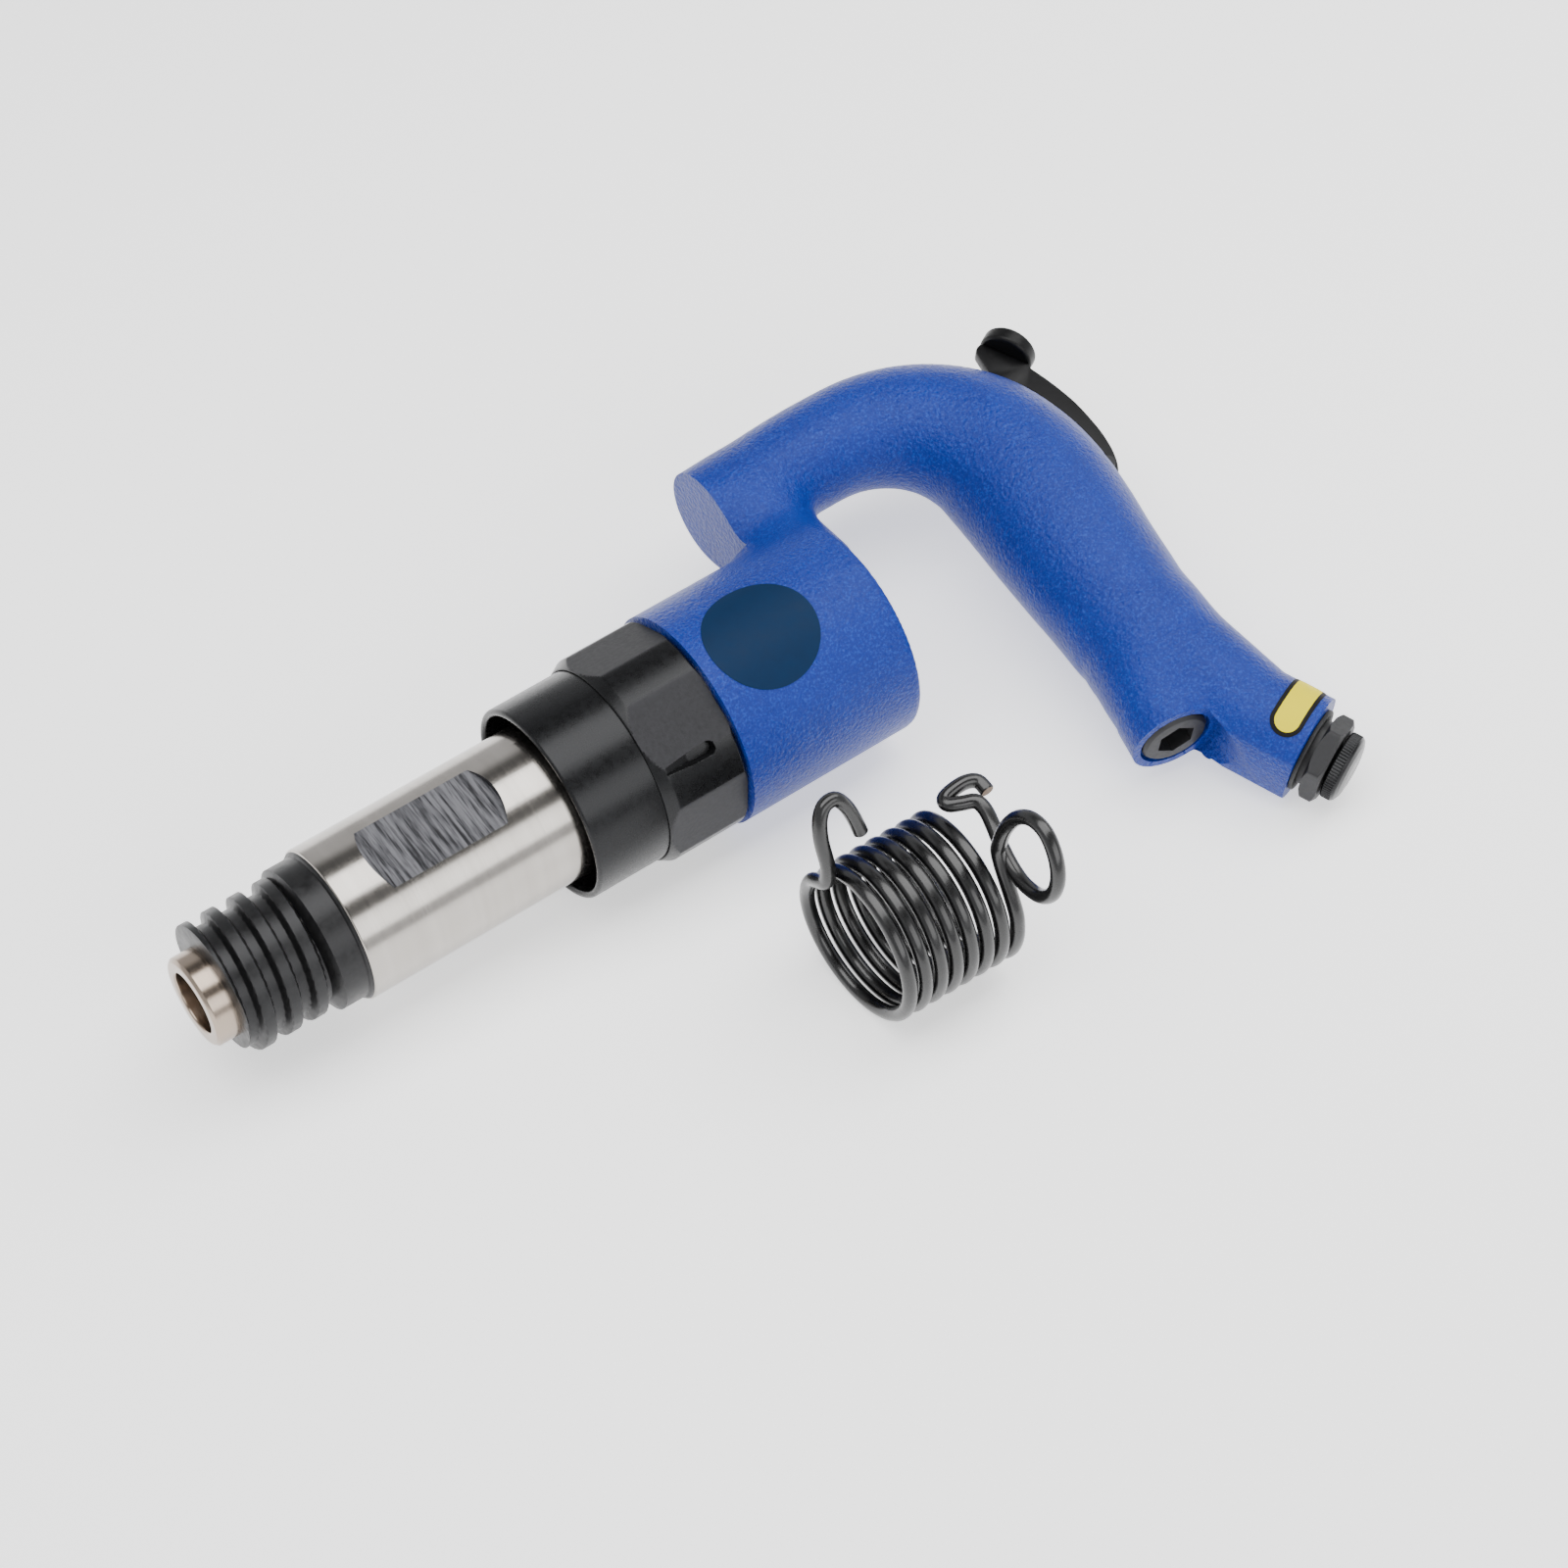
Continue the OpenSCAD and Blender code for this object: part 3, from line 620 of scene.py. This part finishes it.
def thread_height(along, turn):
    """Left-hand ridge: its crest's middle falls one pitch for each turn from +y towards +z. The section is
    a flat crest 3 mm wide with sloping flanks, and the ridge fades out at both ends."""
    half_foot, flank = 2.55, 1.05
    phase = along - THREAD_START + THREAD_PITCH * turn / TURN
    off = np.abs(phase - THREAD_PITCH * np.round(phase / THREAD_PITCH))
    ridge = np.clip((half_foot - off) / flank, 0, 1)
    ridge = ridge * ridge * (3 - 2 * ridge) * 0.35 + ridge * 0.65
    run_out = np.clip((along - 6.3) / 0.5, 0, 1) * np.clip((THREAD_END - along) / 3.0, 0, 1)
    return CREST_RISE * ridge * run_out


def barrel_body():
    """Ground barrel, a turned outline with the piston's bore through it and two milled flats."""
    outline = [(41.2, BUSHING_R), (41.2, 21.7), (41.6, BARREL_R), (131.4, BARREL_R), (131.4, 24), (166, 24),
               (166, 14.3), (46.5, 14.3), (46.5, BUSHING_R)]
    body = lathe("barrel_body", soften(outline, 0.3), around=256, material=GROUND)
    centres = face_centres(body)
    second_material(body, INNER, np.hypot(centres[:, 1], centres[:, 2]) < 15 * MM)
    cut(body, [vice_pocket(side) for side in (-1, 1)])
    sharpen(body.data, 18)
    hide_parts("barrel")
    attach(body, "tool")


def threaded_nose():
    """Blackened nose of the barrel: a turned outline in steps of 0.22 mm, whose radius is raised by the
    thread's height."""
    def threaded(along, turn, radius):
        outside = radius > 16.0
        return np.where(outside, np.maximum(radius, ROOT_R + thread_height(along, turn)), radius)

    outer = [(6.5, 16.1), (7.1, ROOT_R), (31.5, ROOT_R), (33.5, 20.6), (40.3, 20.6), (40.7, 21.3),
             (41.2, 21.6)]
    along = np.concatenate([np.linspace(a[0], b[0], max(2, int((b[0] - a[0]) / 0.22)), endpoint=False)
                            for a, b in zip(outer, outer[1:])] + [[41.2]])
    radius = np.interp(along, [point[0] for point in outer], [point[1] for point in outer])
    outline = [(6.5, BUSHING_R)] + list(zip(along, radius)) + [(41.2, BUSHING_R)]
    nose = lathe("threaded_nose", outline, around=320, shape=threaded, material=THREAD, angle=50)
    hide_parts("barrel")
    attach(nose, "tool")


def vice_pocket(side):
    """Cutter for one milled flat: straight sides, and ends struck as arcs of 20 mm."""
    low, high, arc = 53.0, 92.5, 20.0
    flat_at, clear_of_barrel = 19.9, 30
    swing = np.radians(np.linspace(-37, 37, 25))
    front = np.column_stack([low + arc - arc * np.cos(swing), arc * np.sin(swing)])
    rear = np.column_stack([high - arc + arc * np.cos(swing), -arc * np.sin(swing)])
    depths = sorted((side * flat_at, side * clear_of_barrel))
    return prism("cutter", np.concatenate([front, rear]), *depths, material=MILLED)


def bushing():
    """Nose bushing, turned bright: chamfered outside and at the mouth of its bore."""
    outline = [(0, 9.1), (0, 12.0), (0.9, 12.9), (46, 12.9), (46, 8.7), (0.4, 8.7)]
    piece = lathe("nose_bushing", soften(outline, 0.25), around=160, material=TURNED)
    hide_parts("chisel_bushing")
    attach(piece, "tool")


def sleeve():
    """Exhaust cup: a thin wall with a rolled lip, which is half a circle, open to the front."""
    lip_at, lip_r, roll = 107.65, 27.35, 1.05
    lip = [(lip_at - roll * math.sin(a), lip_r + roll * math.cos(a)) for a in np.linspace(0, math.pi, 9)]
    outline = [(131, 22.2), (131, 28.4)] + lip + [(120.5, 26.3), (121.5, 25.3), (121.5, 22.2)]
    piece = lathe("exhaust_cup", outline, around=192, material=OXIDE, angle=30)
    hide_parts("exhaust_sleeve")
    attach(piece, "tool")


COLLAR_R = 30.6
COLLAR_FLATS = 29.0
FIRST_FLAT = math.radians(53.5)
KEY_TURN = math.radians(133)


def off_flat(turn):
    """Angle from the middle of the nearest of the collar's six flats."""
    return (turn - FIRST_FLAT + TURN / 12) % (TURN / 6) - TURN / 12


def collar_cuts(along, turn, radius):
    """Radius of the nut: six flats, each a straight line in section, and one keyway that deepens over
    10 mm and ends round."""
    outside = radius > 28.45
    half_key, key_depth, key_edge, key_from, key_to = 2.0, 2.4, 0.35, 132, 147.4
    flat_radius = np.where(outside, np.minimum(radius, COLLAR_FLATS / np.cos(off_flat(turn))), radius)
    across = np.abs((turn - KEY_TURN + math.pi) % TURN - math.pi) * 30
    run = np.clip((along - 132.5) / 10, 0, 1)
    end = np.sqrt(np.maximum(0, half_key ** 2 - np.maximum(0, along - 145.3) ** 2))
    wide = np.minimum(half_key, end) * (0.55 + 0.45 * run)
    depth = key_depth * np.clip((wide - across) / key_edge, 0, 1) * np.clip(0.25 + run, 0, 1)
    depth = np.where((along > key_from) & (along < key_to) & outside, depth, 0)
    return np.minimum(flat_radius, np.maximum(radius - depth - 0.5 * (depth > 0.2), 26))


def collar():
    """Round nut with six shallow spanner flats and one keyway, cut as a change of radius round it. The
    angles are closer together at the keyway."""
    outline = [(129, 28.5), (129, 28.9), (132, COLLAR_R), (153, COLLAR_R), (153.8, 29.8), (153.8, 24.05),
               (131.2, 24.05), (131.2, 28.5)]
    even = np.arange(240) * TURN / 240
    near_key = KEY_TURN + np.linspace(-2.6, 2.6, 60) / 30
    theta = np.sort(np.concatenate([even[np.abs(even - KEY_TURN) > 2.7 / 30], near_key]))
    piece = lathe("lock_nut", soften(outline, 0.3), around=theta, shape=collar_cuts, step=0.45,
                  material=OXIDE, angle=24)
    centres = face_centres(piece) / MM
    off = off_flat(np.arctan2(centres[:, 2], centres[:, 1]) - TILT)
    from_axis = np.hypot(centres[:, 1], centres[:, 2]) * np.cos(off)
    on_flat = (np.abs(from_axis - COLLAR_FLATS) < 0.06) & (np.abs(off) < math.acos(COLLAR_FLATS / COLLAR_R))
    second_material(piece, FLAT_OXIDE, on_flat)
    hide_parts("lock_collar")
    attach(piece, "tool")


# ---------------------------------------------------------------- throttle
LEVER = [(294.5, 2), (296, -2), (300, -3.6), (304, 1.6), (305.9, 6.6), (307, 13.1), (307.2, 19.1),
         (307.1, 25.1), (306.2, 31.1), (305.1, 36.4), (303.6, 41.7), (304.2, 42.8), (296.8, 56.7),
         (293.8, 55.3), (292.7, 47.5), (292, 46), (283, 46.3), (282.2, 40.8), (285, 40.7), (288, 40.1),
         (290, 39.55), (292, 38.6), (293.2, 37.3), (293.8, 35.5), (293.5, 31.5), (290.2, 27.5), (289.5, 20)]


def lever():
    """Pressed blade with softened edges, and a domed round pad at its end."""
    blade = prism("thumb_lever", soften(LEVER, 2.5), -2, 2, LEVER_BLACK)
    bevel = blade.modifiers.new("edge", "BEVEL")
    bevel.width = 0.45 * MM
    bevel.segments = 2
    bevel.limit_method = "ANGLE"
    bevel.angle_limit = math.radians(50)
    apply_modifiers(blade)
    on_pad = on_plane_axis(np.array([300.5, 49.75, 0.0]), math.radians(28))
    outline = [(0, 0), (0, 7.3), (0.7, 8), (4.0, 8), (4.9, 7.2), (5.0, 5.5), (5.0, 0)]
    pad = lathe("pad", soften(outline, 0.35), on_pad, 96, material=LEVER_BLACK)
    piece = join_meshes("thumb_lever", [blade, pad])
    piece.data.materials.append(LEVER_BLACK)
    sharpen(piece.data, 35)
    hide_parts("throttle_lever")
    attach(piece, "throttle_lever")


def plug():
    """Screw plug with a seal groove and a hexagon socket, 10 mm across its flats."""
    outline = [(0, 0), (0, 8.65), (1, 9.65), (2.2, 9.65), (2.2, 9), (9.4, 9), (9.4, 7.4), (11.4, 7.4),
               (11.4, 8.9), (12, 8.9), (12, 0)]
    piece = lathe("socket_plug", soften(outline, 0.2, steps=2), on_throttle, 96, material=MATTE_OXIDE)
    corners = np.arange(6) * TURN / 6 + TURN / 12
    socket = [(-1, 0), (-1, 5.77), (6, 5.77), (6.8, 0)]
    cut(piece, [lathe("cutter", socket, on_throttle, corners, material=MATTE_OXIDE)])
    sharpen(piece.data, 30)
    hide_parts("bottom_plug")
    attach(piece, "tool")


def inlet_hexagon():
    """Inlet bushing on a stub: outside the stub, the radius is held to a hexagon 22 mm across its flats."""
    def hexagon(along, turn, radius):
        off = (turn + TURN / 12) % (TURN / 6) - TURN / 12
        return np.where((along > 2.95) & (radius > 9.6), np.minimum(radius, 11 / np.cos(off)), radius)

    outline = [(3, 9.5), (3, 11.2), (3.9, 12.6), (7.1, 12.6), (8, 11.2), (8, 5.6), (-5, 5.6), (-5, 7),
               (-15.5, 7), (-15.5, 9.5)]
    piece = lathe("inlet_hexagon", outline, on_inlet, 192, hexagon, 0.3, MATTE_OXIDE, 22)
    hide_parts("inlet_bushing")
    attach(piece, "tool")


def inlet_washer():
    """Sealing washer between the hexagon and the boss."""
    outline = soften([(0.05, 9.55), (0.05, 12), (1.3, 12), (1.3, 9.55)], 0.3)
    piece = lathe("inlet_washer", outline, on_inlet, 96, material=RUBBER)
    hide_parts("inlet_seal")
    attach(piece, "tool")


def dust_cap():
    """Dust cap with 72 knurled teeth: the radius falls by the size of a sine of the angle."""
    def knurl(along, turn, radius):
        teeth = 0.22 * np.abs(np.sin(turn * 36))
        return np.where((radius > 9.3) & (along < 11.6), radius - teeth, radius)

    outline = [(-3, 0), (-3, 5.3), (-2.7, 5.5), (8.5, 5.5), (8.5, 9.4), (8.9, 9.8), (11.5, 9.8), (12.4, 9.2),
               (13.1, 7.6), (13.5, 5), (13.5, 0)]
    piece = lathe("dust_cap", soften(outline, 0.3), on_inlet, 288, knurl, 0.5, OXIDE, 50)
    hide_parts("inlet_cap")
    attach(piece, "inlet_cap")


# ---------------------------------------------------------------- labels
def label_patch(name, radius, put, middle, half_arc, half_wide, thick, material):
    """Thin label wrapped on a cylinder. Rows run round it, closer together at its ends, and columns across.
    The half width at a row is that of a bar with round ends, or of a disc where half_arc is half_wide."""
    rows, columns = 96, 24
    u = np.linspace(-1, 1, rows)
    u = np.sign(u) * (1 - (1 - np.abs(u)) ** 1.5)
    over = np.maximum(0, np.abs(u) * half_arc - (half_arc - half_wide))
    wide = np.sqrt(np.maximum(half_wide ** 2 - over ** 2, 0))
    across = wide[:, None] * np.linspace(-1, 1, columns)[None, :]
    turn = middle + (u * half_arc)[:, None] / radius + np.zeros_like(across)
    layers = [put((r * np.cos(turn), r * np.sin(turn)), across) for r in (radius, radius + thick)]
    count = rows * columns
    sheet = np.array(grid_faces(rows, columns, False, False))
    rim = list(range(0, columns)) + list(range(2 * columns - 1, count, columns))
    rim += list(range(count - 2, count - columns - 1, -1)) + list(range(count - 2 * columns, 0, -columns))
    wall = [(a, b, b + count, a + count) for a, b in zip(rim, rim[1:] + rim[:1])]
    faces = (sheet + count).tolist() + sheet[:, ::-1].tolist() + wall
    return new_mesh(name, place(np.concatenate(layers)), faces, 40, material)


def round_label():
    """Blank round navy label on the head, 32 mm across."""
    def on_head(across, along):
        return on_barrel(across, 174.4 + along)

    disc = label_patch("round_label", HEAD_R + CLEAR, on_head, math.radians(96), 16, 16, 0.15, NAVY)
    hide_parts("head_label")
    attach(disc, "tool")


def oil_label():
    """Blank yellow label on the inlet boss: a black patch, and a smaller yellow one over it."""
    def on_boss(across, along):
        return on_inlet(across, along - 7)

    middle = math.radians(76.5)
    edge = label_patch("edge_label", BOSS_R + CLEAR, on_boss, middle, 12.9, 4.7, 0.12, BLACK_FILM)
    face = label_patch("yellow_label", BOSS_R + 0.15, on_boss, middle, 11.7, 3.5, 0.08, YELLOW)
    for piece in (edge, face):
        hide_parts("oil_label")
        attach(piece, "tool")


# ---------------------------------------------------------------- springs
WIRE_R = 2.05
COIL_R = 20.65
COIL_AT = (148.3, -82.6)
COIL_YAW = math.radians(-1.44)
COIL_PITCH = 4.9
COIL_TURNS = 8
COIL_Z = FLOOR_Z / MM + COIL_R + WIRE_R
NEAR_HOOK = [(159.8, -71.4, 20.5), (158.9, -69.6, 25.5), (157.5, -67.9, 29.8), (155.1, -66.7, 32.8),
             (151.8, -66.8, 32.6), (149.5, -68, 29.4), (148.4, -70, 24), (148.4, -72.4, 16.5),
             (148.1, -72.8, 11.5), (147.8, -71.2, 8.4)]
FAR_HOOK = [(187, -94.2, 12.5), (187.6, -93.8, 18), (188.8, -94.8, 24), (190, -97.8, 30),
            (190.8, -102.5, 33.4), (190.8, -108, 33.4), (190, -113, 29.6), (189, -115.6, 24),
            (188.2, -114.8, 17.4), (187.8, -110.5, 12.2), (187.9, -104, 10), (188.6, -98, 10.2),
            (189.6, -92, 12.2), (191, -86.5, 14.4), (191.6, -82.4, 16.4), (190.8, -79.4, 17.4),
            (187.6, -77.6, 17.2), (184.8, -75.8, 17), (184.9, -73.7, 17), (188, -72.9, 17.4),
            (192.6, -72.8, 17.4), (195.6, -74.2, 16.8), (195.9, -77.6, 16.2)]


def wire(name, path, radius, sides, material):
    """Round wire along a path of points in metres: a ring of points square to the path at each step, turned
    no more than the path turns, with a small chamfer at both cut ends."""
    chamfer_r, chamfer = 0.86, 0.17 * radius
    way = np.gradient(path, axis=0)
    way /= np.linalg.norm(way, axis=1)[:, None]
    across = np.empty_like(path)
    side = np.array([0.03, 1.0, 0.02])
    for i, heading in enumerate(way):
        side = side - (side @ heading) * heading
        side /= np.linalg.norm(side)
        across[i] = side
    other = np.cross(way, across)
    theta = (np.arange(sides) * TURN / sides)[None, :, None]
    rings = path[:, None] + radius * (np.cos(theta) * across[:, None] + np.sin(theta) * other[:, None])
    first = path[0] + (rings[0] - path[0]) * chamfer_r - way[0] * chamfer
    last = path[-1] + (rings[-1] - path[-1]) * chamfer_r + way[-1] * chamfer
    rings = np.concatenate([first[None], rings, last[None]])
    faces = grid_faces(len(rings), sides, False, True)
    end = (len(rings) - 1) * sides
    faces += [list(range(sides))[::-1], list(range(end, end + sides))]
    return new_mesh(name, rings, faces, 35, material)


def retainer_spring():
    """The loose spring: hook, left-hand coil lying on the floor, finger loop and hook. The coil is a helix,
    COIL_PITCH on for each turn, in steps of 15 degrees."""
    from_turn, to_turn, step = 50, 130 - 360 * COIL_TURNS, 15
    degrees = np.arange(from_turn - step, to_turn + step, -step)
    along = COIL_PITCH * (from_turn - degrees) / 360
    turn = np.radians(degrees)
    coil = np.stack([COIL_AT[0] + along, COIL_AT[1] + along * math.tan(COIL_YAW) + COIL_R * np.cos(turn),
                     COIL_Z + COIL_R * np.sin(turn)], axis=-1)
    path = curve_through(np.concatenate([NEAR_HOOK, coil, FAR_HOOK]), 4)
    piece = wire("coil_retainer", path * MM, WIRE_R * MM, 24, GLOSS_WIRE)
    second_material(piece, CUT_END, np.array([len(face.vertices) > 4 for face in piece.data.polygons]))
    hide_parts("retainer_spring")
    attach(piece, "retainer_spring")


def throttle_spring():
    """Return spring under the throttle valve: a helix of seven turns along the valve's axis."""
    low, high, coil_r, wire_r, turns = 13.0, 35.1, 5.2, 0.6, 7
    turn = np.linspace(0, turns * TURN, turns * 24 + 1)
    along = np.linspace(low + wire_r, high - wire_r, len(turn))
    path = place(on_throttle((coil_r * np.cos(turn), coil_r * np.sin(turn)), along))
    piece = wire("valve_spring", path, wire_r * MM, 10, TURNED)
    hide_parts("throttle_spring")
    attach(piece, "tool")
    foot = place(PLUG_AT + low * PLUG_WAY)
    tuple(place(PLUG_WAY))
    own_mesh(piece)


# ---------------------------------------------------------------- inner pieces keep their CAD shape
INNER_FINISH = {"piston": GROUND, "valve_box_front": INNER, "valve_box_rear": INNER, "cycle_valve": GROUND,
                "valve_dowels": GROUND, "valve_box_seal": RUBBER, "lever_pin": MATTE_OXIDE,
                "throttle_plunger": GROUND, "plunger_bush": BRASS, "plunger_seal": RUBBER,
                "throttle_valve": BRASS, "valve_seat_bush": BRASS, "plug_seal": RUBBER,
                "inlet_strainer": BRASS}


def finish_inner_pieces():
    """Gives each CAD node that stays its material."""
    for name, material in INNER_FINISH.items():
        mesh = frame["nodes"][name].data
        mesh.materials.clear()
        mesh.materials.append(material)


# ---------------------------------------------------------------- stage, light and camera
def stage():
    """Pale floor, large enough to fill every view. It is a sheet of opal acrylic lit from below, so shadows
    on it stay faint, and its tone drifts over 250 mm."""
    size = 6.0
    corners = [(x, y, FLOOR_Z) for x, y in ((-size, -size), (size, -size), (size, size), (-size, size))]
    material, tree, shader, where = start_material("backlit_white_acrylic", Roughness=0.85,
                                                   Emission_Strength=0.85)
    drift = noise(tree, where, 4.0, 2.0)
    colour = mix_colours(tree, drift, linear("#F4F4F4"), linear("#F8F8F8"))
    tree.links.new(colour, shader.inputs["Base Color"])
    new_mesh("floor", corners, [(0, 1, 2, 3)], material=material)


def aim(made, right, up, back, at):
    """Stands an object at a place, its own x, y and z along right, up and back."""
    made.matrix_world = Matrix.Translation(at) @ Matrix((right, up, back)).transposed().to_4x4()


def soft_light(name, at, way, size, power):
    """Rectangular soft box that shines along way, with its longer side along the tool."""
    data = bpy.data.lights.new(name, "AREA")
    data.shape = "RECTANGLE"
    data.size, data.size_y = size
    data.energy = power
    made = show(name, data)
    back = -Vector(way).normalized()
    across = Vector((1, 0, 0))
    across = (across - across.dot(back) * back).normalized()
    aim(made, across, back.cross(across), back, at)
    made.visible_camera = False


def lights():
    """Surroundings bright up to 30 degrees and fading until 49 degrees (the sines are fade_from and fade_to),
    with one box overhead and one at the side, so that turned steel shows two bright bands along it."""
    bright, dim, fade_from, fade_to = 0.9, 0.12, 0.5, 0.75
    world = bpy.data.worlds.new("studio")
    bpy.context.scene.world = world
    world.use_nodes = True
    tree = world.node_tree
    way = tree.nodes.new("ShaderNodeTexCoord").outputs["Generated"]
    split = add(tree, "ShaderNodeSeparateXYZ", {}, {"Vector": way})
    fade = add(tree, "ShaderNodeMapRange", {"interpolation_type": "SMOOTHSTEP"},
               {"Value": split.outputs[2], "From Min": fade_from, "From Max": fade_to,
                "To Min": bright, "To Max": dim})
    background = tree.nodes["Background"]
    background.inputs["Color"].default_value = linear("#F4F5F7")
    tree.links.new(fade.outputs[0], background.inputs["Strength"])
    soft_light("over", (0.45, 0.0, 0.9), (0, 0, -1), (2.2, 0.66), 22.0)
    soft_light("side", (0.3, -1.35, 0.8), (0, 0.85, -0.5), (1.8, 0.85), 14.0)


def camera():
    """Long lens, looking down on the tool from in front of its nose and to one side, a little rolled."""
    at = Vector((-0.2192, -0.5958, 0.8531))
    azimuth, height, roll = math.radians(-34.165), math.radians(51.453), math.radians(-2.374)
    flat = math.cos(height)
    back = Vector((math.sin(azimuth) * flat, -math.cos(azimuth) * flat, math.sin(height)))
    level = Vector((0, 0, 1)).cross(back).normalized()
    up = back.cross(level)
    right = math.cos(roll) * level + math.sin(roll) * up
    top = math.cos(roll) * up - math.sin(roll) * level
    data = bpy.data.cameras.new("camera")
    data.lens = 94.56
    data.sensor_width = 36.0
    made = show("camera", data)
    aim(made, right, top, back, at)
    bpy.context.scene.camera = made


camera()
stage()
lights()
handle_casting()
barrel_body()
threaded_nose()
bushing()
sleeve()
collar()
lever()
plug()
inlet_hexagon()
inlet_washer()
dust_cap()
round_label()
oil_label()
retainer_spring()
throttle_spring()
finish_inner_pieces()
